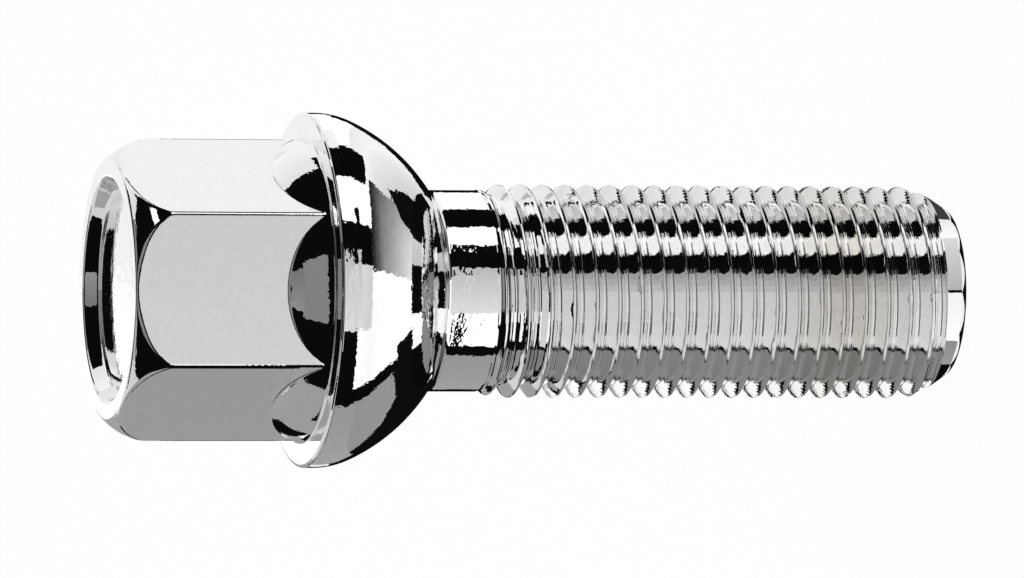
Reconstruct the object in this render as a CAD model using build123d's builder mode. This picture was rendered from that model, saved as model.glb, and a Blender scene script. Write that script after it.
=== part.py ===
"""Ball-seat lug bolt, forged in one piece.

The bolt stands on its threaded tip: the origin is the centre of the tip's flat face, +Z runs up
the axis to the head, and one flat of the hexagon faces -Y. Lengths are in millimetres.
"""

from build123d import *
import math
import os

# Shank: the length runs from the tip's flat face to where the neck enters the ball seat
shank_length = 35.0
neck_diameter = 13.0
neck_length = 3.6
neck_fillet_radius = 0.6

# Threaded length, held at the diameter over the crests, with its cone tip
thread_diameter = 13.85
thread_fade_length = 1.4
tip_cone_length = 2.7
tip_cone_width = 1.525

# Ball seat: the seat ends at an angle below the ball's equator
ball_radius = 12.0
seat_end_angle = 23.6

# Collar: a shoulder beyond the seat, an upright rim, a small bevel and a flat land round the dome
shoulder_width = 0.425
rim_width = 0.7
rim_bevel_width = 0.2
rim_bevel_height = 0.12
land_width = 1.425

# Dome that carries the hexagon's flats out into the collar; its top lies inside the flats
dome_inset = 0.25
dome_height = 3.1
dome_curve_radius = 7.0

# Hexagon, measured up from the back of the collar
hex_across_flats = 16.9
hex_height = 12.73
hex_edge_radius = 0.3

# Crowned head end: a flat ring round a shallow pressed dish
crown_curve_radius = 4.0
crown_inset = 0.1
ring_width = 1.15
dish_wall_width = 0.55
dish_depth = 1.0

# Radii worked out from the axis
thread_radius = thread_diameter / 2
tip_radius = thread_radius - tip_cone_width
neck_radius = neck_diameter / 2
seat_edge_radius = ball_radius * math.cos(math.radians(seat_end_angle))
collar_radius = seat_edge_radius + shoulder_width
bevel_radius = collar_radius - rim_bevel_width
dome_foot_radius = bevel_radius - land_width
flat_distance = hex_across_flats / 2
corner_radius = flat_distance / math.cos(math.radians(30))
dome_top_radius = flat_distance - dome_inset
ring_radius = flat_distance - crown_inset
dish_radius = ring_radius - ring_width
dish_floor_radius = dish_radius - dish_wall_width

# Heights along the shank; the ball's centre stands above the circle where the neck meets it
neck_z = shank_length - neck_length
fade_z = neck_z - thread_fade_length
ball_centre_z = shank_length + math.sqrt(ball_radius**2 - neck_radius**2)


def on_ball(angle):
    """Point of the ball's section at an angle in degrees below its equator."""
    turn = math.radians(angle)
    return (ball_radius * math.cos(turn), ball_centre_z - ball_radius * math.sin(turn))


# The shoulder arc leaves the ball in its own direction and ends upright at the collar's rim
neck_angle = math.degrees(math.acos(neck_radius / ball_radius))
shoulder_radius = shoulder_width / (1 - math.cos(math.radians(seat_end_angle)))
rim_z = on_ball(seat_end_angle)[1] + shoulder_radius * math.sin(math.radians(seat_end_angle))
bevel_z = rim_z + rim_width
collar_back_z = bevel_z + rim_bevel_height
dome_top_z = collar_back_z + dome_height
head_end_z = collar_back_z + hex_height
dish_floor_z = head_end_z - dish_depth

# Shank, ball seat, collar and dome are one turned form
with BuildPart() as turned_body:
    with BuildSketch(Plane.XZ) as half_section:
        with BuildLine():
            Polyline(
                (0, dome_top_z),
                (0, 0),
                (tip_radius, 0),
                (thread_radius, tip_cone_length),
                (thread_radius, fade_z),
                (neck_radius, neck_z),
                (neck_radius, shank_length),
            )
            ball_arc = ThreePointArc(
                on_ball(neck_angle),
                on_ball((neck_angle + seat_end_angle) / 2),
                on_ball(seat_end_angle),
            )
            TangentArc(ball_arc @ 1, (collar_radius, rim_z), tangent=ball_arc % 1)
            Polyline(
                (collar_radius, rim_z),
                (collar_radius, bevel_z),
                (bevel_radius, collar_back_z),
                (dome_foot_radius, collar_back_z),
            )
            RadiusArc((dome_foot_radius, collar_back_z), (dome_top_radius, dome_top_z), -dome_curve_radius)
            Line((dome_top_radius, dome_top_z), (0, dome_top_z))
        make_face()
        neck_corner = half_section.vertices().sort_by_distance((neck_radius, shank_length))[0]
        fillet(neck_corner, neck_fillet_radius)
    revolve(axis=Axis.Z)

# Round envelope of the crowned head: the arc is upright where it meets the hexagon's corners
crown_centre_radius = corner_radius - crown_curve_radius
crown_height = math.sqrt(crown_curve_radius**2 - (ring_radius - crown_centre_radius) ** 2)
with BuildPart() as crown:
    with BuildSketch(Plane.XZ):
        with BuildLine():
            Polyline(
                (ring_radius, head_end_z),
                (0, head_end_z),
                (0, collar_back_z),
                (corner_radius, collar_back_z),
                (corner_radius, head_end_z - crown_height),
            )
            RadiusArc(
                (corner_radius, head_end_z - crown_height),
                (ring_radius, head_end_z),
                -crown_curve_radius,
            )
        make_face()
    revolve(axis=Axis.Z)

# Hexagon within that envelope, with the dish in its end
with BuildPart() as hexagon:
    with BuildSketch(Plane.XY.offset(collar_back_z)) as hex_section:
        RegularPolygon(flat_distance, 6, major_radius=False)
        fillet(hex_section.vertices(), hex_edge_radius)
    extrude(amount=hex_height)
    add(crown.part, mode=Mode.INTERSECT)
    with BuildSketch(Plane.XZ):
        with BuildLine():
            Polyline(
                (0, dish_floor_z),
                (dish_floor_radius, dish_floor_z),
                (dish_radius, head_end_z),
                (0, head_end_z),
                close=True,
            )
        make_face()
    revolve(axis=Axis.Z, mode=Mode.SUBTRACT)

with BuildPart() as lug_bolt:
    add(turned_body.part)
    add(hexagon.part)

lug_bolt.part.label = "lug_bolt"
os.makedirs("parts", exist_ok=True)
export_step(lug_bolt.part, "parts/lug_bolt.step")
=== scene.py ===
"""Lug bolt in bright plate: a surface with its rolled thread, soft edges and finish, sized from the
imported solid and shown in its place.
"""

import math

import bpy
import numpy as np
from bpy.props import FloatProperty, FloatVectorProperty, PointerProperty
from mathutils import Matrix, Vector


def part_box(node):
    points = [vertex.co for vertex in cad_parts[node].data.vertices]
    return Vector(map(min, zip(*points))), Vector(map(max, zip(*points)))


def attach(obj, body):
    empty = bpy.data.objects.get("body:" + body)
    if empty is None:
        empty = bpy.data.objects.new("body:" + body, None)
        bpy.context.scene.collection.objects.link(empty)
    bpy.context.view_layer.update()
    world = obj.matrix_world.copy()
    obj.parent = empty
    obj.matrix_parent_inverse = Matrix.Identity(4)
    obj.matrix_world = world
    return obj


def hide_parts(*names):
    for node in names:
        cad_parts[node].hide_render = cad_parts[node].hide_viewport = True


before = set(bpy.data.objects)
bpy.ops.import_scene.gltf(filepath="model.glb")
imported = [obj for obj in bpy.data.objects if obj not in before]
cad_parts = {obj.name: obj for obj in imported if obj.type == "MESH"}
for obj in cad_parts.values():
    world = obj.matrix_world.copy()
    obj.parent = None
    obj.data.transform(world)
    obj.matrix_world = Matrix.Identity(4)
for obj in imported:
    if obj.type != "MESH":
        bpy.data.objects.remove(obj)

bl_info = {
    "name": "Lug Bolt",
    "version": (1, 0, 0),
    "blender": (4, 5, 0),
    "location": "3D View > Sidebar > Lug Bolt",
    "description": "A ball-seat lug bolt in bright plate, standing on its tip in a small studio",
    "category": "Object",
}

MM = 0.001
TURN = 2 * math.pi
BODY = "root"
NODE = "lug_bolt"

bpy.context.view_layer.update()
bolt_low, bolt_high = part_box(NODE)


def length(name, description, millimetres):
    """A length that the sidebar shows, with its default given in millimetres."""
    return FloatProperty(
        name=name,
        description=description,
        default=millimetres * MM,
        unit="LENGTH",
        precision=5,
    )


def colour(name, description, value):
    """A colour that the sidebar shows."""
    return FloatVectorProperty(
        name=name,
        description=description,
        default=value,
        subtype="COLOR",
        min=0.0,
        max=1.0,
    )


class BoltThread(bpy.types.PropertyGroup):
    """Sizes of the rolled thread and of the tip that starts it."""

    pitch: length("Pitch", "From one crest to the next", 1.5)
    crest_radius: length("Crest radius", "From the axis to the thread's crests", 6.925)
    depth: length("Depth", "From the crests down to the roots", 0.92)
    crest_flat: length("Crest flat", "Width of the flat that runs along a crest", 0.13)
    crest_round: length("Crest rounding", "Height over which a crest's edges round off", 0.08)
    crest_wear: length("Crest wear", "Depth of the sharp nicks in the crests", 0.09)
    root_round: length("Root rounding", "Height over which the flanks round into the root", 0.16)
    first_crest: length("First crest", "Height of the crest line over the tip's face, at +X", 0.1)
    fade_start: length("Fade start", "Height where the plain neck ends and the thread begins to rise", 31.6)
    fade_length: length("Fade length", "Length over which the thread reaches its full height", 2.4)
    nose_radius: length("Nose radius", "Radius of the flat face at the tip", 5.4)
    nose_length: length("Nose length", "Length over which the cone of the nose reaches the crests", 2.7)
    nose_round: length("Nose rounding", "Rounding where the nose meets the flat face", 0.12)


class BoltSeat(bpy.types.PropertyGroup):
    """Sizes of the neck, the ball seat and the collar's rim."""

    neck_radius: length("Neck radius", "Radius of the plain neck", 6.5)
    neck_fillet: length("Neck fillet", "Radius of the fillet between the neck and the ball seat", 0.6)
    shank_length: length("Shank length", "From the tip's face to where the neck meets the ball seat", 35.0)
    ball_radius: length("Ball radius", "Radius of the ball seat", 12.0)
    seat_end: FloatProperty(
        name="Seat end",
        description="Angle below the ball's equator where the seat ends",
        default=math.radians(23.6),
        subtype="ANGLE",
    )
    rim_width: length("Rim width", "Height of the upright rim", 0.7)
    bevel_width: length("Bevel width", "How far the bevel goes in from the rim", 0.2)
    bevel_height: length("Bevel height", "How far the bevel goes up from the rim", 0.12)
    land_width: length("Land width", "Flat land between the bevel and the dome", 1.425)
    edge_round: length("Edge rounding", "Rounding of the rim's two edges", 0.07)


class BoltHead(bpy.types.PropertyGroup):
    """Sizes of the dome, the hexagon, the crown and the dish."""

    across_flats: length("Across flats", "Width of the hexagon across its flats", 16.9)
    corner_round: length("Corner radius", "Radius of the hexagon's six upright edges", 0.4)
    hex_height: length("Hexagon height", "From the back of the collar to the head's end", 12.73)
    dome_inset: length("Dome inset", "How far the dome's top lies inside the flats", 0.25)
    dome_height: length("Dome height", "Height of the dome over the collar", 3.1)
    dome_curve: length("Dome curve", "Radius of the dome's section", 7.0)
    dome_round: length("Dome rounding", "Rounding where the dome meets a flat and the land", 0.13)
    crown_curve: length("Crown curve", "Radius of the crown's section", 4.0)
    crown_inset: length("Crown inset", "How far the end ring's outer edge lies inside the flats", 0.1)
    crown_round: length("Crown rounding", "Rounding where the crown cuts a flat", 0.26)
    ring_width: length("Ring width", "Width of the flat end ring", 1.15)
    ring_round: length("Ring rounding", "Rounding of the end ring's two edges", 0.2)
    dish_wall: length("Dish wall", "How far the dish's wall leans in", 0.55)
    dish_depth: length("Dish depth", "Depth of the dish", 1.0)
    dish_round: length("Dish rounding", "Rounding at the foot of the dish's wall", 0.25)


class BoltFinish(bpy.types.PropertyGroup):
    """The plated finish."""

    plate_colour: colour("Plate colour", "Colour of the plate", (0.96, 0.965, 0.97))
    dull_colour: colour("Dull colour", "Colour of the plate where it is a little dull", (0.8, 0.8, 0.8))
    tint_colour: colour("Tint colour", "Colour of the faint warm stain on the thread", (0.70, 0.66, 0.60))
    tint_height: length("Tint height", "Height of the stain's middle over the tip's face", 8.5)
    tint_reach: length("Tint reach", "How far the stain fades out above and below its middle", 5.5)
    roughness: FloatProperty(
        name="Roughness", description="Roughness of the plate", default=0.025, min=0.0, max=1.0
    )


class BoltStage(bpy.types.PropertyGroup):
    """The floor, the cards and the camera."""

    floor_size: length("Floor size", "Side of the square floor", 4000.0)
    card_distance: length("Card distance", "From the bolt's axis to the ring of cards", 100.0)
    sky_distance: length("Sky distance", "From the bolt to the overhead cards", 900.0)
    distance: length("Camera distance", "From the camera to the point that it looks at", 700.0)
    aim_height: length("Aim height", "Height of the point that the camera looks at", 29.07)
    aim_side: length("Aim side", "How far towards +X of the axis the camera looks", 0.135)
    lens: FloatProperty(name="Lens", description="Focal length in millimetres", default=380.8)


# Columns of the surface's grid: half a flat spans 30 degrees, and the corner's columns are shares of
# the angle that its rounding takes
FLAT_ANGLE = math.radians(30)
COARSE_COLUMNS = 13
CORNER_COLUMNS = (0.0, 0.4, 0.75, 1.0, 1.35)

# Rows of the surface's grid along each stretch of the section
DISH_ROWS = 6
BEND_ROWS = 5
STRIP_ROWS = 3
CROWN_ROWS = 9
FLAT_ROWS = 7
DOME_ROWS = 7
RIM_ROWS = 2
SHOULDER_ROWS = 7
BALL_ROWS = 22
FILLET_ROWS = 9
NECK_ROWS = 4
TIP_ROWS = 6

# Largest share of the crown or the dome that one rounding may take
ROUND_SHARE = 0.4

# Rows of the thread: their distances above a crest, which also stand mirrored below the next one, how
# near the neck or the tip a row joins it, and how far the rows go on over the plain neck
CREST_ROWS = np.array([0.0, 0.03, 0.06, 0.1, 0.3, 0.47, 0.56, 0.66]) * MM
ROW_SNAP = 0.012 * MM
NECK_OVERLAP = 0.3 * MM

# Form of the thread: each flank leans 30 degrees from square, and the nose bulges a little. The nicks
# follow sines with these rates per turn, one of them shifted, and have a shallow and a sharp part
FLANK_ANGLE = math.radians(30)
NOSE_CURVE = 1.25
NICK_RATES = (3.37, 8.61, 0.83)
NICK_SHIFT = 1
NICK_SHALLOW = 0.18
NICK_SHARPNESS = 6

# Step between two points that give a slope, step of the grid on which corners are welded, and the
# smallest cross product that still has a direction
NUDGE = 1e-4
WELD_STEP = 1e-7
SMALLEST_CROSS = 1e-18


def corner_spread(head):
    """Angle from a hexagon corner to the end of its rounding, and the rounding's centre distance."""
    centre = (head.across_flats / 2 - head.corner_round) / math.cos(FLAT_ANGLE)
    sideways = head.corner_round * math.sin(FLAT_ANGLE)
    outwards = centre + head.corner_round * math.cos(FLAT_ANGLE)
    return math.atan2(sideways, outwards), centre


def column_angles(head):
    """Angles from 0 to one turn, crowded where the hexagon's corners are rounded."""
    spread, _ = corner_spread(head)
    fine = spread * np.array(CORNER_COLUMNS)
    coarse = np.linspace(fine[-1], FLAT_ANGLE, COARSE_COLUMNS)[1:]
    half = np.concatenate([fine, coarse])
    sector = np.concatenate([half, 2 * FLAT_ANGLE - half[-2:0:-1]])
    starts = 2 * FLAT_ANGLE * np.arange(6)[:, None]
    return np.append((starts + sector).ravel(), TURN)


def hexagon_radius(head, turn):
    """Distance from the axis to the rounded hexagon: half the width across flats over the cosine of
    the angle from the flat's middle, and within a corner the far crossing with the rounding circle."""
    spread, centre = corner_spread(head)
    from_corner = np.abs(turn - 2 * FLAT_ANGLE * np.round(turn / (2 * FLAT_ANGLE)))
    flat = head.across_flats / 2 / np.cos(FLAT_ANGLE - from_corner)
    inside = np.maximum(head.corner_round**2 - (centre * np.sin(from_corner)) ** 2, 0)
    corner = centre * np.cos(from_corner) + np.sqrt(inside)
    return np.where(from_corner < spread, corner, flat)


def straight(start, end):
    """Straight stretch of the section: start plus t times the way to end."""
    return lambda t: (start[0] + (end[0] - start[0]) * t, start[1] + (end[1] - start[1]) * t)


def arc(centre, radius, start, end):
    """Arc of the section: centre plus radius times cosine and sine, from angle start to end."""
    def point(t):
        angle = start + (end - start) * t
        return centre[0] + radius * np.cos(angle), centre[1] + radius * np.sin(angle)
    return point


def bend(start, corner, end):
    """Rounded corner: a parabola that leaves start and reaches end along the corner's two sides."""
    def point(t):
        near, middle, far = (1 - t) ** 2, 2 * t * (1 - t), t**2
        return tuple(near * a + middle * b + far * c for a, b, c in zip(start, corner, end))
    return point


def towards(start, end, distance):
    """The point at a distance from start on the way to end."""
    run, rise = end[0] - start[0], end[1] - start[1]
    share = distance / np.hypot(run, rise)
    return start[0] + run * share, start[1] + rise * share


def head_sections(head, seat, collar_back, turn):
    """Section of the head from the dish's centre out to the collar's land, as (stretch, rows) pairs.
    The hexagon's radius changes with the column; the crown, dome and dish are turned forms. Where the
    crown or the dome is narrow, the roundings at its two edges shrink to a share of it."""
    flat = head.across_flats / 2
    top = collar_back + head.hex_height
    floor = top - head.dish_depth
    ring = flat - head.crown_inset
    dish = ring - head.ring_width
    foot = dish - head.dish_wall
    hexagon = hexagon_radius(head, turn)

    crown_middle = flat / math.cos(FLAT_ANGLE) - head.crown_curve
    ring_angle = math.acos((ring - crown_middle) / head.crown_curve)
    crown_centre = (crown_middle, top - head.crown_curve * math.sin(ring_angle))
    cut_angle = np.arccos((hexagon - crown_middle) / head.crown_curve)
    room = ROUND_SHARE * (ring_angle - cut_angle)
    crown_start = ring_angle - np.minimum(head.ring_round / head.crown_curve, room)
    crown_end = cut_angle + np.minimum(head.crown_round / head.crown_curve, room)
    cut = (hexagon, crown_centre[1] + head.crown_curve * np.sin(cut_angle))

    dome_foot = (collar_radius() - seat.bevel_width - seat.land_width, collar_back)
    dome_top = (flat - head.dome_inset, collar_back + head.dome_height)
    run, rise = dome_top[0] - dome_foot[0], dome_top[1] - dome_foot[1]
    chord = math.hypot(run, rise)
    reach = math.sqrt(head.dome_curve**2 - chord**2 / 4)
    dome_centre = (
        (dome_foot[0] + dome_top[0]) / 2 - reach * rise / chord,
        (dome_foot[1] + dome_top[1]) / 2 + reach * run / chord,
    )
    foot_angle = math.atan2(dome_foot[1] - dome_centre[1], dome_foot[0] - dome_centre[0])
    meet_angle = np.arccos((hexagon - dome_centre[0]) / head.dome_curve)
    dome_turn = np.minimum(head.dome_round / head.dome_curve, ROUND_SHARE * (meet_angle - foot_angle))
    dome_start = meet_angle - dome_turn
    dome_end = foot_angle + dome_turn
    meet = (hexagon, dome_centre[1] + head.dome_curve * np.sin(meet_angle))

    def on_crown(angle):
        """Point of the crown's arc at an angle."""
        return arc(crown_centre, head.crown_curve, angle, angle)(0)

    def on_dome(angle):
        """Point of the dome's arc at an angle."""
        return arc(dome_centre, head.dome_curve, angle, angle)(0)

    foot_near = (foot - head.dish_round, floor)
    foot_far = towards((foot, floor), (dish, top), head.dish_round)
    lip_near = towards((dish, top), (foot, floor), head.ring_round)
    lip_far = (dish + head.ring_round, top)
    ring_far = (ring - head.ring_round, top)
    cut_far = (hexagon, cut[1] - head.crown_round)
    meet_near = (hexagon, meet[1] + head.dome_round)
    land_near = (dome_foot[0] + head.dome_round, collar_back)
    land_far = (collar_radius() - seat.bevel_width - seat.edge_round, collar_back)
    return [
        (straight((0.0, floor), foot_near), DISH_ROWS),
        (bend(foot_near, (foot, floor), foot_far), BEND_ROWS),
        (straight(foot_far, lip_near), STRIP_ROWS),
        (bend(lip_near, (dish, top), lip_far), BEND_ROWS),
        (straight(lip_far, ring_far), STRIP_ROWS),
        (bend(ring_far, (ring, top), on_crown(crown_start)), BEND_ROWS),
        (arc(crown_centre, head.crown_curve, crown_start, crown_end), CROWN_ROWS),
        (bend(on_crown(crown_end), cut, cut_far), BEND_ROWS),
        (straight(cut_far, meet_near), FLAT_ROWS),
        (bend(meet_near, meet, on_dome(dome_start)), BEND_ROWS),
        (arc(dome_centre, head.dome_curve, dome_start, dome_end), DOME_ROWS),
        (bend(on_dome(dome_end), dome_foot, land_near), BEND_ROWS),
        (straight(land_near, land_far), STRIP_ROWS),
    ]


def collar_radius():
    """Radius of the collar's rim, which is the widest part of the bolt."""
    return (bolt_high[0] - bolt_low[0]) / 2


def seat_sections(seat, collar_back):
    """Section from the land over the bevel, rim, shoulder, ball and neck fillet to the plain neck."""
    rim = collar_radius()
    bevel_top = (rim - seat.bevel_width, collar_back)
    bevel_foot = (rim, collar_back - seat.bevel_height)
    rim_foot = (rim, bevel_foot[1] - seat.rim_width)
    ball = (0.0, seat.shank_length + math.sqrt(seat.ball_radius**2 - seat.neck_radius**2))
    shoulder = (rim - seat.ball_radius * math.cos(seat.seat_end)) / (1 - math.cos(seat.seat_end))
    fillet_middle = seat.neck_radius + seat.neck_fillet
    fillet_reach = seat.ball_radius + seat.neck_fillet
    fillet_drop = math.sqrt(fillet_reach**2 - fillet_middle**2)
    fillet_turn = math.atan2(fillet_drop, fillet_middle)
    fillet_centre = (fillet_middle, ball[1] - fillet_drop)
    land_far = (bevel_top[0] - seat.edge_round, collar_back)
    bevel_near = towards(bevel_top, bevel_foot, seat.edge_round)
    bevel_far = towards(bevel_foot, bevel_top, seat.edge_round)
    rim_near = (rim, bevel_foot[1] - seat.edge_round)
    return [
        (bend(land_far, bevel_top, bevel_near), BEND_ROWS),
        (straight(bevel_near, bevel_far), STRIP_ROWS),
        (bend(bevel_far, bevel_foot, rim_near), BEND_ROWS),
        (straight(rim_near, rim_foot), RIM_ROWS),
        (arc((rim - shoulder, rim_foot[1]), shoulder, 0.0, -seat.seat_end), SHOULDER_ROWS),
        (arc(ball, seat.ball_radius, -seat.seat_end, -fillet_turn), BALL_ROWS),
        (arc(fillet_centre, seat.neck_fillet, math.pi - fillet_turn, math.pi), FILLET_ROWS),
    ]


def blend_low(one, other, width):
    """The smaller of two values, rounded over a width where they cross."""
    near = np.maximum(width - np.abs(one - other), 0) / width
    return np.minimum(one, other) - near**2 * width / 4


def thread_radius(thread, neck_radius, turn, height):
    """Radius of the rolled thread. Beside a crest it drops by the distance from the crest's flat over
    the tangent of the flank's angle, never deeper than the root, with both ends rounded. Nicks lower
    the crests by products of sines of the turns run along the helix, the sharp ones to a steep power.
    The thread grows out of the neck as one less the square of what is left of its fade. The nose is a
    cone, bulged by a power of what is left of its length, that cuts the thread."""
    lead = (height - thread.first_crest) / thread.pitch - turn / TURN
    run = np.round(lead) + turn / TURN
    wave = np.sin(TURN * NICK_RATES[0] * run) * np.sin(TURN * NICK_RATES[1] * run + NICK_SHIFT)
    sharp = np.abs(np.sin(TURN * NICK_RATES[2] * run) * wave) ** NICK_SHARPNESS
    wear = thread.crest_wear * (NICK_SHALLOW * wave**2 + sharp)
    across = np.abs(lead - np.round(lead)) * thread.pitch
    flank = (across - thread.crest_flat / 2) / math.tan(FLANK_ANGLE)
    drop = -blend_low(-flank, -wear, thread.crest_round)
    drop = blend_low(drop, thread.depth, thread.root_round)
    left = np.clip(1 - (thread.fade_start - height) / thread.fade_length, 0, 1)
    radius = neck_radius + (thread.crest_radius - drop - neck_radius) * (1 - left**2)
    left = np.clip(1 - height / thread.nose_length, 0, 1)
    nose = thread.crest_radius - (thread.crest_radius - thread.nose_radius) * left**NOSE_CURVE
    return blend_low(radius, nose, thread.crest_round)


def thread_heights(thread, neck_end, turn):
    """Heights of the thread's rows: each follows the helix, rising by the pitch in one turn, and is
    held between the nose and the neck. The last column meets the first one pitch further up."""
    below = thread.pitch - CREST_ROWS[:0:-1]
    middle = thread.pitch / 2
    ring = np.concatenate([CREST_ROWS, [middle], below])
    turns = math.ceil(neck_end / thread.pitch) + 2
    rows = (np.arange(-1, turns)[:, None] * thread.pitch + ring).ravel()[::-1]
    heights = rows[:, None] + thread.first_crest + thread.pitch * turn / TURN
    low = thread.nose_round
    heights = np.where(heights > neck_end - ROW_SNAP, neck_end, heights)
    return np.where(heights < low + ROW_SNAP, low, heights)


def bolt_surface(head, seat, thread, turn, nudge=0.0):
    """Radius and height of every row at every column, from the dish's centre to the tip's centre.
    A nudge moves each row along its own stretch, forwards in the first half and backwards in the
    second, and the thread's rows downwards, so that two calls give the surface's slope. The third
    array is 1 where a row moved forwards and -1 where it moved backwards."""
    collar_back = bolt_high[2] - head.hex_height
    neck_end = thread.fade_start + NECK_OVERLAP
    nose_point = thread_radius(thread, seat.neck_radius, 0 * turn, thread.nose_round)
    nose_far = (thread.nose_radius - thread.nose_round, 0.0)
    stretches = head_sections(head, seat, collar_back, turn) + seat_sections(seat, collar_back)
    fillet_end = stretches[-1][0](np.ones(1))
    stretches.append((straight(fillet_end, (seat.neck_radius, neck_end)), NECK_ROWS))
    ends = [
        (bend((nose_point, thread.nose_round), (thread.nose_radius, 0.0), nose_far), BEND_ROWS),
        (straight(nose_far, (0.0, 0.0)), TIP_ROWS),
    ]
    radii, heights, signs = [], [], []

    def lay(stretch, rows):
        """Adds the rows of one stretch."""
        t = np.linspace(0, 1, rows)[:, None]
        sign = np.where(t < 0.5, 1, -1)
        radius, height = stretch(t + sign * nudge)
        radii.append(radius + 0 * turn)
        heights.append(height + 0 * turn)
        signs.append(sign)

    for stretch, rows in stretches:
        lay(stretch, rows)
    rows = thread_heights(thread, neck_end, turn) - nudge * thread.pitch
    radii.append(thread_radius(thread, seat.neck_radius, turn, rows))
    heights.append(rows)
    signs.append(np.ones((len(rows), 1)))
    for stretch, rows in ends:
        lay(stretch, rows)
    return np.vstack(radii), np.vstack(heights), np.vstack(signs)


def to_points(radius, height, turn):
    """Points at a radius, a height and an angle round the axis."""
    return np.stack([radius * np.cos(turn), radius * np.sin(turn), height], axis=-1)


def surface_normals(head, seat, thread, turn, points):
    """Outward direction at each point: the cross product of the slope along a row's stretch and the
    slope round the axis. At the two poles it is the axis itself."""
    radius, height, sign = bolt_surface(head, seat, thread, turn, NUDGE)
    along = (to_points(radius, height, turn) - points) * sign[..., None]
    radius, height, _ = bolt_surface(head, seat, thread, turn + NUDGE)
    around = to_points(radius, height, turn + NUDGE) - points
    normal = np.cross(along, around)
    upright = np.zeros_like(points)
    upright[..., 2] = np.where(points[..., 2] > bolt_high[2] / 2, 1, -1)
    size = np.linalg.norm(normal, axis=-1, keepdims=True)
    return np.where(size > SMALLEST_CROSS, normal / np.maximum(size, SMALLEST_CROSS), upright)


def make_mesh(name, points, normals):
    """Mesh of a grid of points. Corners that coincide are welded: a face with one side closed up
    becomes a triangle, and one with more is left out."""
    rows, columns, _ = points.shape
    flat = points.reshape(-1, 3)
    keys = np.round(flat / WELD_STEP).astype(np.int64)
    _, first, index = np.unique(keys, axis=0, return_index=True, return_inverse=True)
    index = index.reshape(rows, columns)
    corners = (index[:-1, :-1], index[1:, :-1], index[1:, 1:], index[:-1, 1:])
    quads = np.stack(corners, axis=-1).reshape(-1, 4)
    repeats = quads == np.roll(quads, -1, axis=1)
    count = repeats.sum(axis=1)
    whole = quads[count == 0]
    folded = quads[count == 1]
    keep = ~repeats[count == 1]
    triangles = folded[keep].reshape(-1, 3)
    mesh = bpy.data.meshes.new(name)
    mesh.from_pydata(flat[first], [], whole.tolist() + triangles.tolist())
    mesh.polygons.foreach_set("use_smooth", np.ones(len(mesh.polygons), dtype=bool))
    mesh.normals_split_custom_set_from_vertices(normals.reshape(-1, 3)[first])
    mesh.update()
    return mesh


def add_object(name, mesh):
    """Object at the origin that shows a mesh."""
    piece = bpy.data.objects.new(name, mesh)
    bpy.context.scene.collection.objects.link(piece)
    return piece


class Socket:
    """A shader value that can be written in expressions."""

    def __init__(self, tree, output):
        self.tree = tree
        self.output = output

    def math(self, operation, *others):
        """Adds a Math node that takes this value first and then the others."""
        values = {0: self}
        values.update({place + 1: other for place, other in enumerate(others)})
        return self.tree.add("ShaderNodeMath", {"operation": operation}, values)

    def __add__(self, other):
        return self.math("ADD", other)

    def __radd__(self, other):
        return self.math("ADD", other)

    def __sub__(self, other):
        return self.math("SUBTRACT", other)

    def __rsub__(self, other):
        return (self * -1.0).math("ADD", other)

    def __mul__(self, other):
        return self.math("MULTIPLY", other)

    def __rmul__(self, other):
        return self.math("MULTIPLY", other)

    def __truediv__(self, other):
        return self.math("DIVIDE", other)

    def __pow__(self, other):
        return self.math("POWER", other)


class Tree:
    """The node tree of a material or world, cleared and ready for new nodes."""

    def __init__(self, owner):
        owner.use_nodes = True
        self.nodes = owner.node_tree.nodes
        self.links = owner.node_tree.links
        self.nodes.clear()

    def add(self, kind, settings=None, values=None, output=0):
        """Adds a node, sets it up, fills or links its sockets and gives one of its outputs."""
        node = self.nodes.new(kind)
        for name, value in (settings or {}).items():
            setattr(node, name, value)
        for name, value in (values or {}).items():
            if isinstance(value, Socket):
                self.links.new(value.output, node.inputs[name])
            else:
                node.inputs[name].default_value = value
        return Socket(self, node.outputs[output]) if node.outputs else node

    def blend(self, share, first, second):
        """Adds a Mix node that goes from the first colour to the second as the share grows."""
        values = {0: share, 6: first, 7: second}
        return self.add("ShaderNodeMix", {"data_type": "RGBA"}, values, output=2)


# Noises of the plate, as scale per millimetre, detail and roughness of the detail, and how far each
# one raises the surface in millimetres
RIPPLE = (0.35, 0.0, 0.5)
RIPPLE_HEIGHT = 0.02
PEEL = (1.1, 0.0, 0.5)
PEEL_HEIGHT = 0.009
GRAIN = (3.2, 1.0, 0.5)
GRAIN_HEIGHT = 0.005
GRAIN_ROUGHNESS = 0.03
MOTTLE = (2.5, 5.0, 0.75)
TINT = (1.2, 3.0, 0.6)


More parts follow.
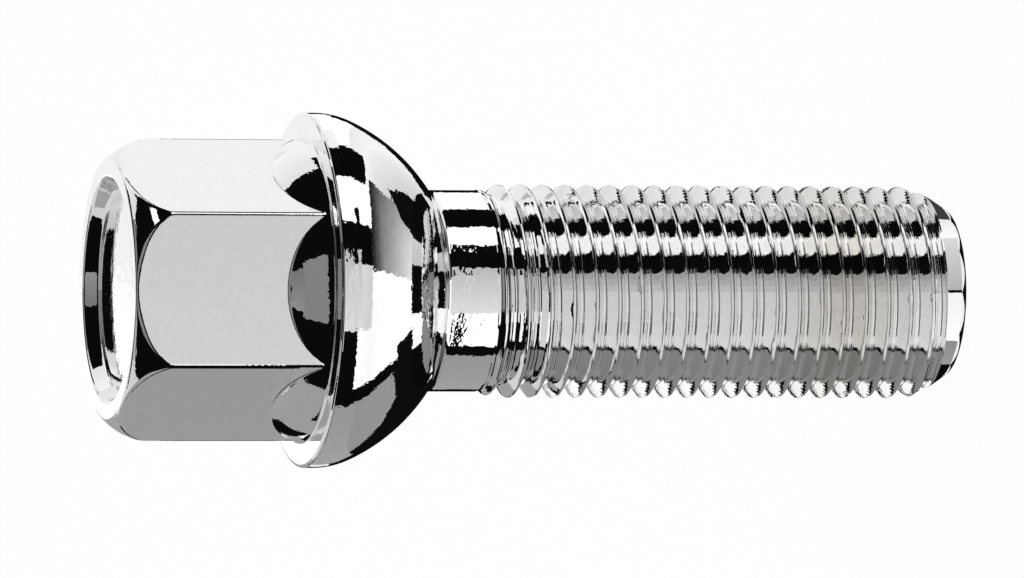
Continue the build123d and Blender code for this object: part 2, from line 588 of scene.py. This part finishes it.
def plate_material(finish):
    """Bright plate on a forged and rolled surface: a slow ripple, a finer peel and a fine grain in the
    bump, a mottle in the colour and a faint warm stain on the thread, all on the object's own
    coordinates in millimetres."""
    material = bpy.data.materials.new("bright_plate")
    tree = Tree(material)
    place = tree.add("ShaderNodeTexCoord", output="Object")
    spot = tree.add("ShaderNodeVectorMath", {"operation": "SCALE"}, {0: place, "Scale": 1 / MM})

    def noise(pattern):
        """Noise from 0 to 1 with a scale, a detail and a roughness."""
        scale, detail, roughness = pattern
        values = {"Vector": spot, "Scale": scale, "Detail": detail, "Roughness": roughness}
        return tree.add("ShaderNodeTexNoise", {"normalize": True}, values)

    ripple = noise(RIPPLE) * RIPPLE_HEIGHT
    peel = noise(PEEL) * PEEL_HEIGHT
    grain = noise(GRAIN)
    height = ripple + peel + grain * GRAIN_HEIGHT
    bump = tree.add("ShaderNodeBump", values={"Strength": 1.0, "Distance": MM, "Height": height})
    rough = grain * GRAIN_ROUGHNESS + (finish.roughness - GRAIN_ROUGHNESS / 2)
    plate = tree.blend(noise(MOTTLE), (*finish.dull_colour, 1.0), (*finish.plate_colour, 1.0))
    upwards = tree.add("ShaderNodeSeparateXYZ", values={0: spot}, output=2)
    from_tint = (upwards - finish.tint_height / MM).math("ABSOLUTE") / (finish.tint_reach / MM)
    tint = (1.0 - from_tint).math("MAXIMUM", 0.0) * noise(TINT)
    shader = tree.add(
        "ShaderNodeBsdfPrincipled",
        values={
            "Base Color": tree.blend(tint, plate, (*finish.tint_colour, 1.0)),
            "Metallic": 1.0,
            "Roughness": rough,
            "Normal": bump,
        },
    )
    tree.add("ShaderNodeOutputMaterial", values={"Surface": shader})
    return material


class BOLT_OT_body(bpy.types.Operator):
    """Make the whole bolt as one closed surface, from the dish in its head to the face of its tip"""

    bl_idname = "lug_bolt.body"
    bl_label = "Bolt"

    def execute(self, context):
        head, seat = context.scene.bolt_head, context.scene.bolt_seat
        thread, finish = context.scene.bolt_thread, context.scene.bolt_finish
        turn = column_angles(head)
        radius, height, _ = bolt_surface(head, seat, thread, turn)
        points = to_points(radius, height, turn)
        normals = surface_normals(head, seat, thread, turn, points)
        bolt = add_object("bolt", make_mesh("bolt", points, normals))
        bolt.data.materials.append(plate_material(finish))
        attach(bolt, BODY)
        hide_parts(NODE)
        return {"FINISHED"}


# Light of the cards: the plate gives back this share of it, and the picture's greys follow this power
DISPLAY_GAMMA = 2.2
PLATE_SHINE = 0.88

# Floor: the colour that takes light, and the share that is its own white
FLOOR_COLOUR = (0.9, 0.9, 0.9, 1.0)
FLOOR_OWN_WHITE = 0.97

# Points along each side of a card, and how far a level card lies over the floor or the louvre's top
CARD_STEPS = 13
CARD_LIFT = 0.02 * MM


def card_light():
    """Material of the cards: each gives a light of its own, which the plate shows as the grey of the
    card's tone attribute."""
    material = bpy.data.materials.new("card_light")
    tree = Tree(material)
    tone = tree.add("ShaderNodeAttribute", {"attribute_name": "tone"}, output="Fac")
    light = tree.add("ShaderNodeEmission", values={"Strength": tone**DISPLAY_GAMMA / PLATE_SHINE})
    tree.add("ShaderNodeOutputMaterial", values={"Surface": light})
    return material


def floor_material():
    """White floor: a camera ray or a reflection sees mostly its own white, and the rest takes light,
    so the bolt's soft shadow stays on it."""
    material = bpy.data.materials.new("floor_white")
    tree = Tree(material)
    seen = tree.add("ShaderNodeLightPath", output="Is Camera Ray")
    mirrored = tree.add("ShaderNodeLightPath", output="Is Glossy Ray")
    white = tree.add("ShaderNodeEmission", values={"Strength": 1.0})
    lit = tree.add("ShaderNodeBsdfDiffuse", values={"Color": FLOOR_COLOUR})
    share = (seen + mirrored) * FLOOR_OWN_WHITE
    mix = tree.add("ShaderNodeMixShader", values={0: share, 1: lit, 2: white})
    tree.add("ShaderNodeOutputMaterial", values={"Surface": mix})
    return material


def add_card(name, points, faces, tones, domain="POINT"):
    """Card that only the plate's reflections show, with a tone at each of its points or faces."""
    mesh = bpy.data.meshes.new(name)
    mesh.from_pydata(points.reshape(-1, 3), [], faces)
    mesh.attributes.new("tone", "FLOAT", domain).data.foreach_set("value", tones.ravel())
    mesh.update()
    card = add_object(name, mesh)
    card.data.materials.append(bpy.data.materials["card_light"])
    card.visible_camera = False
    card.visible_diffuse = False
    card.visible_shadow = False
    card.visible_transmission = False


def grid_faces(rows, columns):
    """Faces of a grid of points, row by row."""
    index = np.arange(rows * columns).reshape(rows, columns)
    faces = np.stack([index[:-1, :-1], index[:-1, 1:], index[1:, 1:], index[1:, :-1]], axis=-1)
    return faces.reshape(-1, 4).tolist()


def round_axis(angle, reach, height):
    """Point at a reach from the bolt's axis: the reach times the sine and minus the cosine of an angle
    that is counted from the camera's side towards +X, and a height."""
    return reach * np.sin(angle), -reach * np.cos(angle), height


def curved_card(name, side, reach, tone, place, outwards=False):
    """Card between two angles in degrees round the bolt's axis and between two reaches, which place
    turns into points. Its tone runs evenly from the first to the second value of tone as the angle
    grows, or as the reach grows where it runs outwards."""
    share = np.linspace(0, 1, CARD_STEPS)[:, None]
    angle = np.radians(side[0] + (side[1] - side[0]) * share)
    across = np.linspace(reach[0], reach[1], CARD_STEPS)[None, :]
    if outwards:
        share = share.T
    points = np.stack(np.broadcast_arrays(*place(angle, across)), axis=-1)
    tones = tone[0] + (tone[1] - tone[0]) * share + 0 * (angle + across)
    add_card(name, points, grid_faces(CARD_STEPS, CARD_STEPS), tones)


def wall_card(name, distance, side, heights, tone):
    """Upright curved card: a piece of the cylinder round the bolt's axis, between two heights."""
    def place(angle, height):
        return round_axis(angle, distance, height * MM)
    curved_card(name, side, heights, tone, place)


def sky_card(name, distance, side, rises, tone):
    """Overhead card: a piece of a far sphere, between two angles above the horizon."""
    def place(angle, rise):
        rise = np.radians(rise)
        return round_axis(angle, distance * np.cos(rise), distance * np.sin(rise))
    curved_card(name, side, rises, tone, place)


def level_card(name, side, reaches, tone, height=0.0, outwards=False):
    """Level card: a piece of a flat ring, between two distances from the axis."""
    def place(angle, reach):
        return round_axis(angle, reach * MM, height * MM + CARD_LIFT)
    curved_card(name, side, reaches, tone, place, outwards)


def louvre(name, drop, tones=None):
    """Spiral ramp round the shank: its height is the step times the turns run, lowered by a drop. Its
    faces take the tones of the strips by their angle. In front, faces that aren't dark take the given
    tones instead, one for the inner and one for the outer faces."""
    sides, shades = [], []
    for _, (start, end), (first, last) in STRIP_CARDS:
        parts = math.ceil((end - start) / LOUVRE_PART)
        sides.append(start + (end - start) * np.arange(parts) / parts)
        shades.append(first + (last - first) * (np.arange(parts) + 0.5) / parts)
    side = np.concatenate(sides)
    shade = np.concatenate(shades)
    turns = int(LOUVRE_TOP / LOUVRE_STEP)
    angle = (np.arange(turns)[:, None] * 360 + side).ravel()
    angle = np.radians(np.append(angle, turns * 360 - 180))[:, None]
    reach = np.array(LOUVRE_REACHES) * MM
    height = LOUVRE_STEP * MM * (angle / TURN + 0.5) - drop
    points = np.stack(np.broadcast_arrays(*round_axis(angle, reach, height)), axis=-1)
    ahead = np.tile((side > LOUVRE_AHEAD[0]) & (side < LOUVRE_AHEAD[1]), turns)[:, None]
    faces = np.repeat(np.tile(shade, turns)[:, None], len(reach) - 1, axis=1)
    if tones:
        faces = np.where(ahead & (faces > DARK_STRIP), tones, faces)
    add_card(name, points, grid_faces(*points.shape[:2]), faces, domain="FACE")


def floor_patch(name, outline, tone):
    """Card that lies over the floor cards, with an outline of points in millimetres from the axis."""
    corners = np.array([(x * MM, y * MM, 2 * CARD_LIFT) for x, y in outline])
    add_card(name, corners, [tuple(range(len(corners)))], np.full(len(corners), tone))


# Tones of black and white cards
BLACK = (0.07, 0.07)
WHITE = (1.03, 1.03)

# Wall cards: angles in degrees, heights in millimetres and tones
WALL_CARDS = (
    ("front_grey_foot", (-25, 17), (0, 2.5), (0.84, 0.8)),
    ("front_black_foot", (17, 26), (0, 2.5), BLACK),
    ("front_grey_low", (-25, 26), (2.5, 11), (0.87, 0.72)),
    ("front_pale_low", (-25, 17), (11, 21), (0.82, 0.82)),
    ("front_black_low", (17, 26), (11, 21), BLACK),
    ("front_grey", (-25, 26), (21, 50), (0.87, 0.72)),
    ("front_rail", (-25, 26), (50, 76), BLACK),
    ("front_dark_grey", (-25, 26), (76, 138), (0.5, 0.5)),
    ("right_black_near_foot", (26, 43), (0, 2.5), BLACK),
    ("right_white_near_foot", (43, 52), (0, 2.5), WHITE),
    ("right_black_near_low", (26, 52), (2.5, 11), BLACK),
    ("right_black_near_mid", (26, 43), (11, 23), BLACK),
    ("right_black_near", (26, 52), (23, 150), BLACK),
    ("right_white_near_mid", (43, 52), (11, 23), WHITE),
    ("right_white_near", (52, 76), (0, 23), WHITE),
    ("right_white_near_over", (52, 74), (23, 50), WHITE),
    ("right_black_over", (52, 74), (50, 102), BLACK),
    ("right_white_spot", (55, 72), (102, 122), WHITE),
    ("right_black_top", (52, 74), (122, 150), BLACK),
    ("right_black", (76, 105), (0, 18.5), BLACK),
    ("right_black_mid", (76, 101), (18.5, 23), BLACK),
    ("right_black_tall", (74, 101), (23, 150), BLACK),
    ("right_white_low", (105, 151), (0, 18.5), WHITE),
    ("right_white", (101, 123), (18.5, 39), (0.94, 0.94)),
    ("right_rail", (101, 114), (39, 50), BLACK),
    ("right_white_side", (114, 151), (39, 50), (0.94, 0.94)),
    ("right_white_back", (123, 158), (18.5, 22), WHITE),
    ("right_edge", (123, 144), (22, 31), BLACK),
    ("right_white_over", (123, 151), (31, 39), (0.94, 0.94)),
    ("right_white_tall", (101, 138), (50, 150), (0.88, 0.96)),
    ("right_black_back", (151, 158), (0, 14), BLACK),
    ("right_outline", (158, 180), (0, 20), BLACK),
    ("left_white_low", (-65, -25), (0, 10.5), WHITE),
    ("left_line", (-65, -25), (10.5, 26), BLACK),
    ("left_white", (-38, -25), (26, 50), WHITE),
    ("left_black_edge", (-65, -38), (26, 50), BLACK),
    ("left_black_over", (-65, -25), (50, 150), BLACK),
    ("left_black", (-77, -65), (0, 150), BLACK),
    ("left_grey_low", (-151, -77), (0, 22), (0.62, 0.58)),
    ("left_grey", (-123, -112), (22, 39), (0.60, 0.58)),
    ("left_edge_near", (-112, -77), (22, 39), BLACK),
    ("left_rail", (-112, -77), (39, 50), BLACK),
    ("left_edge", (-144, -123), (22, 31), BLACK),
    ("left_grey_over", (-133, -123), (31, 39), (0.6, 0.6)),
    ("left_grey_side", (-133, -112), (39, 50), (0.6, 0.6)),
    ("left_grey_behind", (-172, -144), (20, 38), (0.6, 0.6)),
    ("left_grey_far", (-172, -150), (38, 62), (0.6, 0.6)),
    ("left_spike", (-150, -133), (38, 66), BLACK),
    ("left_grey_mid", (-133, -77), (50, 84), (0.60, 0.60)),
    ("left_grey_tall", (-138, -77), (84, 104), (0.62, 0.60)),
    ("left_pale_top", (-138, -94), (104, 150), (0.84, 0.80)),
    ("left_black_tall", (-94, -77), (104, 150), BLACK),
    ("left_black_back", (-158, -151), (0, 14), BLACK),
    ("left_outline", (-180, -158), (0, 20), BLACK),
)

# Louvre: its top, its climb in one turn and its reaches in millimetres, the widest face in degrees, and
# how far its underside lies below it. Between two angles the underside has two tones of its own,
# except where its strip is dark
LOUVRE_TOP = 28.0
LOUVRE_STEP = 0.5
LOUVRE_REACHES = (8.6, 8.8, 10.8)
LOUVRE_PART = 6
LOUVRE_DROP = 0.03 * MM
LOUVRE_UNDERSIDE = (0.75, 0.1)
LOUVRE_AHEAD = (-40, 40)
DARK_STRIP = 0.3

# Level cards at the louvre's top: angles and tones
CAP_CARDS = (
    ("cap_left_black", (-120, -45), BLACK),
    ("cap_front_white", (-45, -18), WHITE),
    ("cap_front_black", (-18, 20), BLACK),
    ("cap_right_grey", (20, 40), (0.75, 0.8)),
    ("cap_right_black", (40, 110), BLACK),
)

# Strips on the floor round the tip, with tones that the louvre takes over: reaches in millimetres, then
# angles in order, and tones
STRIP_REACHES = (8.0, 12.0)
STRIP_CARDS = (
    ("strip_left_back", (-180, -140), (0.6, 0.5)),
    ("strip_left_white", (-140, -108), (0.9, 1.0)),
    ("strip_left_black", (-108, -100), BLACK),
    ("strip_left_grey", (-100, -55), (0.5, 0.52)),
    ("strip_left_line", (-55, -51), BLACK),
    ("strip_front_pale", (-51, 0), (0.88, 0.82)),
    ("strip_front_grey", (0, 15.5), (0.78, 0.6)),
    ("strip_right_dark", (15.5, 33), (0.08, 0.06)),
    ("strip_right_white", (33, 50), (1.0, 1.0)),
    ("strip_right_black", (50, 70), (0.06, 0.08)),
    ("strip_right_grey", (70, 96), (0.85, 0.7)),
    ("strip_right_back", (96, 102), BLACK),
    ("strip_back_pale", (102, 180), (0.9, 0.7)),
)

# Cards on the floor nearer the tip: reaches in millimetres, then angles and tones
TIP_REACHES = (5.7, 8.0)
TIP_CARDS = (
    ("tip_right_dark", (62, 151), (0.25, 0.2)),
    ("tip_right_white", (42, 62), (1.0, 0.9)),
    ("tip_front_pale", (2, 42), (0.7, 0.85)),
    ("tip_front_black", (0, 2), BLACK),
    ("tip_left_white", (-36, 0), (1.0, 0.95)),
    ("tip_left_grey", (-60, -36), (0.6, 0.55)),
    ("tip_left_black", (-151, -60), BLACK),
)

# Overhead cards: angles round the axis, angles above the horizon and tones
SKY_CARDS = (
    ("sky_front_grey", (-22, 22), (40, 62), (0.55, 0.45)),
    ("sky_left_side_pale", (-135, -100), (40, 70), (0.84, 0.78)),
    ("sky_front_left_black", (-100, -22), (40, 70), BLACK),
    ("sky_front_right_black", (22, 100), (40, 70), BLACK),
    ("sky_right_side_pale", (100, 135), (40, 70), (0.85, 0.9)),
    ("sky_top_black", (-90, 90), (74, 90), BLACK),
    ("sky_front_over", (-22, 22), (62, 74), BLACK),
    ("sky_left_over", (-90, -22), (70, 74), BLACK),
    ("sky_right_over", (22, 90), (70, 74), BLACK),
    ("sky_right_top", (90, 180), (60, 90), (0.45, 0.5)),
    ("sky_left_top", (-180, -90), (60, 90), (0.6, 0.7)),
    ("sky_right_soft", (135, 180), (2, 27), (0.88, 0.93)),
    ("sky_right_grey", (135, 180), (27, 31), (0.7, 0.7)),
    ("sky_right_pale", (135, 180), (31, 37), (0.9, 0.9)),
    ("sky_right_black", (135, 180), (37, 60), BLACK),
    ("sky_left_spike", (-152, -134), (0, 15), BLACK),
    ("sky_left_pale", (-180, -172), (6, 23), WHITE),
    ("sky_left_mid", (-172, -135), (6, 23), (0.62, 0.6)),
    ("sky_left_soft", (-180, -135), (23, 46), (0.85, 0.8)),
    ("sky_left_black", (-180, -135), (46, 60), BLACK),
)

# Floor cards: angles, distances from the axis in millimetres, and tones, which change outwards
FLOOR_CARDS = (
    ("mat_front_white", (-65, 14), (12, 60), (1.03, 0.98)),
    ("mat_front_brushed", (14, 82), (12, 58), (0.92, 0.12)),
    ("mat_front_left_far", (-65, -25), (60, 100), (0.98, 1.0)),
    ("mat_front_far", (-25, 17), (58, 100), (0.8, 0.84)),
    ("mat_front_right_far", (17, 43), (58, 100), BLACK),
    ("mat_right_white_far", (43, 76), (58, 100), WHITE),
    ("mat_right_far", (76, 105), (66, 100), BLACK),
    ("mat_right_pale", (82, 151), (28, 66), (0.8, 0.97)),
    ("mat_right_white", (105, 151), (66, 100), (0.95, 0.9)),
    ("mat_right_back", (82, 151), (12, 28), (0.3, 0.6)),
    ("mat_right_black_back", (151, 180), (12, 100), BLACK),
    ("mat_left_black", (-77, -65), (20, 100), BLACK),
    ("mat_left_near", (-77, -65), (12, 20), (1.0, 0.8)),
    ("mat_left_grey", (-151, -77), (12, 100), (0.58, 0.56)),
    ("mat_left_black_back", (-180, -151), (12, 100), BLACK),
    ("tip_under", (-180, 180), (0, 5.7), BLACK),
)

# Patches over the floor cards: outline in millimetres and tone
FLOOR_PATCHES = (
    (
        "patch_left_black",
        ((-10, -9), (-20, -15), (-31, -8), (-36, 12), (-52, 50), (-75, 95), (-18, 95), (-12, 10)),
        0.08,
    ),
    (
        "patch_right_black",
        (
            (12, -5), (21, -6.5), (24, -7.5), (28, -6), (34, -4),
            (38, 1), (35, 4), (30, 12), (24, 14), (12, 8),
        ),
        0.08,
    ),
)


class BOLT_OT_stage(bpy.types.Operator):
    """Make the floor, the cards, the lamp, the world and the camera"""

    bl_idname = "lug_bolt.stage"
    bl_label = "Stage"

    def execute(self, context):
        stage = context.scene.bolt_stage
        half = stage.floor_size / 2
        mesh = bpy.data.meshes.new("floor")
        corners = [(-half, -half, 0), (half, -half, 0), (half, half, 0), (-half, half, 0)]
        mesh.from_pydata(corners, [], [(0, 1, 2, 3)])
        floor = add_object("floor", mesh)
        floor.data.materials.append(floor_material())
        card_light()
        for name, side, heights, tone in WALL_CARDS:
            wall_card(name, stage.card_distance, side, heights, tone)
        for name, side, rises, tone in SKY_CARDS:
            sky_card(name, stage.sky_distance, side, rises, tone)
        for name, side, tone in STRIP_CARDS:
            level_card(name, side, STRIP_REACHES, tone)
        for name, side, tone in TIP_CARDS:
            level_card(name, side, TIP_REACHES, tone)
        for name, side, tone in CAP_CARDS:
            level_card(name, side, LOUVRE_REACHES[::2], tone, LOUVRE_TOP)
        louvre("louvre_top", 0.0)
        louvre("louvre_underside", LOUVRE_DROP, LOUVRE_UNDERSIDE)
        for card in FLOOR_CARDS:
            level_card(*card, outwards=True)
        for patch in FLOOR_PATCHES:
            floor_patch(*patch)
        make_lights(context)
        make_camera(context, stage)
        context.scene.view_settings.view_transform = "Standard"
        return {"FINISHED"}


# Lamp: its side and place in metres and its power, and the strength of the world
LAMP_SIDE = 0.5
LAMP_PLACE = (0.15, 0.1, 0.8)
LAMP_POWER = 2.6
WORLD_STRENGTH = 0.6

# Camera: how far it stands above the level and is rolled, the sensor's width in millimetres and the
# nearest distance that it sees in metres
CAMERA_RISE = math.radians(14.7)
CAMERA_ROLL = math.radians(0.22)
SENSOR_WIDTH = 36.0
NEAREST_SEEN = 0.01


def make_lights(context):
    """One broad lamp overhead and an even world, which together give a plain level of light."""
    world = bpy.data.worlds.new("studio")
    context.scene.world = world
    tree = Tree(world)
    light = tree.add("ShaderNodeBackground", values={"Color": (1, 1, 1, 1), "Strength": WORLD_STRENGTH})
    tree.add("ShaderNodeOutputWorld", values={"Surface": light})
    lamp_data = bpy.data.lights.new("lamp", "AREA")
    lamp_data.size = LAMP_SIDE
    lamp_data.energy = LAMP_POWER
    lamp = bpy.data.objects.new("lamp", lamp_data)
    lamp.location = LAMP_PLACE
    lamp.rotation_euler = Vector(lamp.location).to_track_quat("Z", "Y").to_euler()
    lamp.visible_glossy = False
    context.scene.collection.objects.link(lamp)


def make_camera(context, stage):
    """Camera on the -Y side and above the head's end, rolled a quarter turn and a little more, so that
    the bolt lies across the picture as in the photograph."""
    back = Vector((0, -math.cos(CAMERA_RISE), math.sin(CAMERA_RISE)))
    level_right = Vector((0, -math.sin(CAMERA_RISE), -math.cos(CAMERA_RISE)))
    level_up = Vector((1, 0, 0))
    right = math.cos(CAMERA_ROLL) * level_right + math.sin(CAMERA_ROLL) * level_up
    up = math.cos(CAMERA_ROLL) * level_up - math.sin(CAMERA_ROLL) * level_right
    aim = Vector((stage.aim_side, 0, stage.aim_height))
    camera_data = bpy.data.cameras.new("camera")
    camera_data.lens = stage.lens
    camera_data.sensor_width = SENSOR_WIDTH
    camera_data.clip_start = NEAREST_SEEN
    camera = bpy.data.objects.new("camera", camera_data)
    context.scene.collection.objects.link(camera)
    turned = Matrix((right, up, back)).transposed().to_4x4()
    camera.matrix_world = Matrix.Translation(aim + stage.distance * back) @ turned
    context.scene.camera = camera


# Property groups with the names under which the scene holds them and their titles in the sidebar
GROUPS = (
    ("bolt_thread", "Thread", BoltThread),
    ("bolt_seat", "Seat and collar", BoltSeat),
    ("bolt_head", "Head", BoltHead),
    ("bolt_finish", "Finish", BoltFinish),
    ("bolt_stage", "Stage", BoltStage),
)
OPERATORS = (BOLT_OT_body, BOLT_OT_stage)


class BOLT_PT_panel(bpy.types.Panel):
    """Sidebar panel with the bolt's sizes, its finish and the operators that make it"""

    bl_idname = "BOLT_PT_panel"
    bl_label = "Lug Bolt"
    bl_space_type = "VIEW_3D"
    bl_region_type = "UI"
    bl_category = "Lug Bolt"

    def draw(self, context):
        """Shows each group of sizes in a box of its own, and below them the operators."""
        for name, title, group in GROUPS:
            box = self.layout.box()
            box.label(text=title)
            for item in group.__annotations__:
                box.prop(getattr(context.scene, name), item)
        for operator in OPERATORS:
            self.layout.operator(operator.bl_idname)


CLASSES = tuple(group for _, _, group in GROUPS) + OPERATORS + (BOLT_PT_panel,)


def register():
    """Registers the classes and gives the scene its property groups."""
    for item in CLASSES:
        bpy.utils.register_class(item)
    for name, _, group in GROUPS:
        setattr(bpy.types.Scene, name, PointerProperty(type=group))


def unregister():
    """Takes back what register did."""
    for name, _, _ in GROUPS:
        delattr(bpy.types.Scene, name)
    for item in reversed(CLASSES):
        bpy.utils.unregister_class(item)


def main():
    """Makes the bolt and the stage."""
    register()
    bpy.ops.lug_bolt.body()
    bpy.ops.lug_bolt.stage()


if __name__ == "__main__":
    main()
